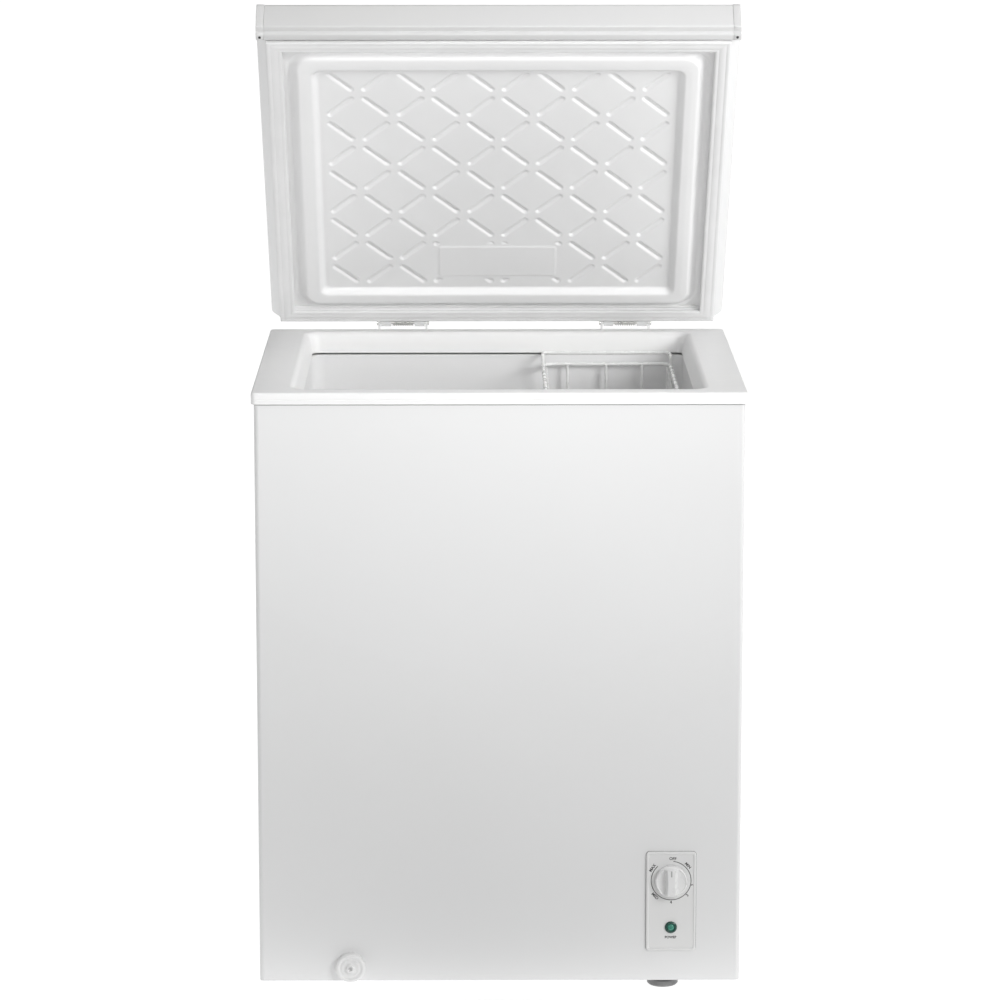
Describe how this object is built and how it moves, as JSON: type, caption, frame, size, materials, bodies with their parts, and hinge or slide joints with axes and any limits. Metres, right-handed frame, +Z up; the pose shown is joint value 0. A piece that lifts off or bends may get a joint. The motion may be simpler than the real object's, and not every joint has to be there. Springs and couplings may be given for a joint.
{
  "type": "chest freezer",
  "caption": "Small upright-sided chest freezer, lid propped open on rear hinges, with a thermostat panel, a drain outlet and a hanging wire basket.",
  "frame": {"origin": "on the floor, under the middle of the whole part's bounding box with the lid open as stored", "axes": "+X to the right seen from the front, +Y from the front to the back, +Z up"},
  "size_m": [0.625, 0.5907, 1.2491],
  "materials": {
    "white_steel": "gloss",
    "white_rim": "satin",
    "liner_grey": "satin",
    "lid_liner_white": "satin",
    "gasket_white": "satin",
    "foam_cream": "matte",
    "copper": "satin",
    "galvanised": "satin",
    "black_enamel": "gloss",
    "black_plastic": "satin",
    "grey_plastic": "satin",
    "black_rubber": "matte",
    "white_plastic": "satin",
    "panel_plastic": "satin",
    "lamp_dark_green": "gloss",
    "lamp_green": "gloss",
    "basket_coat": "gloss",
    "spring_steel": "satin",
    "pin_steel": "polished"
  },
  "bodies": {
    "cabinet": {"outer_shell": "white_steel", "back_panel": "white_steel", "base_pan": "galvanised", "top_frame": "white_rim", "inner_liner": "liner_grey", "cabinet_foam": "foam_cream", "evaporator_tube": "copper", "condenser_tube": "galvanised", "foot_front_right": "grey_plastic", "foot_front_left": "grey_plastic", "foot_rear_right": "grey_plastic", "foot_rear_left": "grey_plastic", "control_bezel": "panel_plastic", "thermostat_body": "black_plastic", "lamp_ring": "lamp_dark_green", "lamp_lens": "lamp_green", "lamp_holder": "black_plastic", "drain_flange": "white_plastic", "drain_tube": "white_plastic", "compressor_pot": "black_enamel", "compressor_plate": "galvanised", "compressor_grommets": "black_rubber", "compressor_studs": "galvanised", "relay_cover": "black_plastic", "filter_drier": "copper", "suction_line": "copper", "discharge_line": "copper", "rear_grille": "white_plastic", "cord_gland": "black_rubber", "hinge_bracket_left": "white_steel", "hinge_bracket_right": "white_steel", "hinge_pin_left": "pin_steel", "hinge_pin_right": "pin_steel", "hinge_spring_left": "spring_steel", "hinge_spring_right": "spring_steel", "hinge_screws_cabinet": "pin_steel"},
    "lid": {"lid_skin": "white_steel", "lid_rail": "white_rim", "lid_cap_left": "white_rim", "lid_cap_right": "white_rim", "lid_liner": "lid_liner_white", "lid_foam": "foam_cream", "lid_gasket": "gasket_white", "hinge_leaf_left": "white_steel", "hinge_leaf_right": "white_steel", "hinge_screws_lid": "pin_steel"},
    "thermostat_dial": {"thermostat_knob": "panel_plastic", "thermostat_shaft": "galvanised"},
    "basket": {"basket": "basket_coat"},
    "outlet_cap": {"drain_cap": "white_plastic"},
    "floor_plug": {"drain_plug": "gasket_white"}
  },
  "joints": [
    {"name": "lid_hinge", "type": "hinge", "parent": "cabinet", "child": "lid", "pos_m": [0, 0.2648, 0.788], "axis": [-1, 0, 0], "range_deg": [-50.6, 34.4]},
    {"name": "thermostat_turn", "type": "hinge", "parent": "cabinet", "child": "thermostat_dial", "pos_m": [0.22, -0.2812, 0.1453], "axis": [0, 1, 0], "range_deg": [-130, 130]},
    {"name": "basket_slide", "type": "slide", "parent": "cabinet", "child": "basket", "axis": [1, 0, 0], "range_m": [-0.31, 0.01]},
    {"name": "outlet_cap_pull", "type": "slide", "parent": "cabinet", "child": "outlet_cap", "axis": [0, -1, 0], "range_m": [0, 0.022]},
    {"name": "floor_plug_lift", "type": "slide", "parent": "cabinet", "child": "floor_plug", "axis": [0, 0, 1], "range_m": [0, 0.03]}
  ]
}
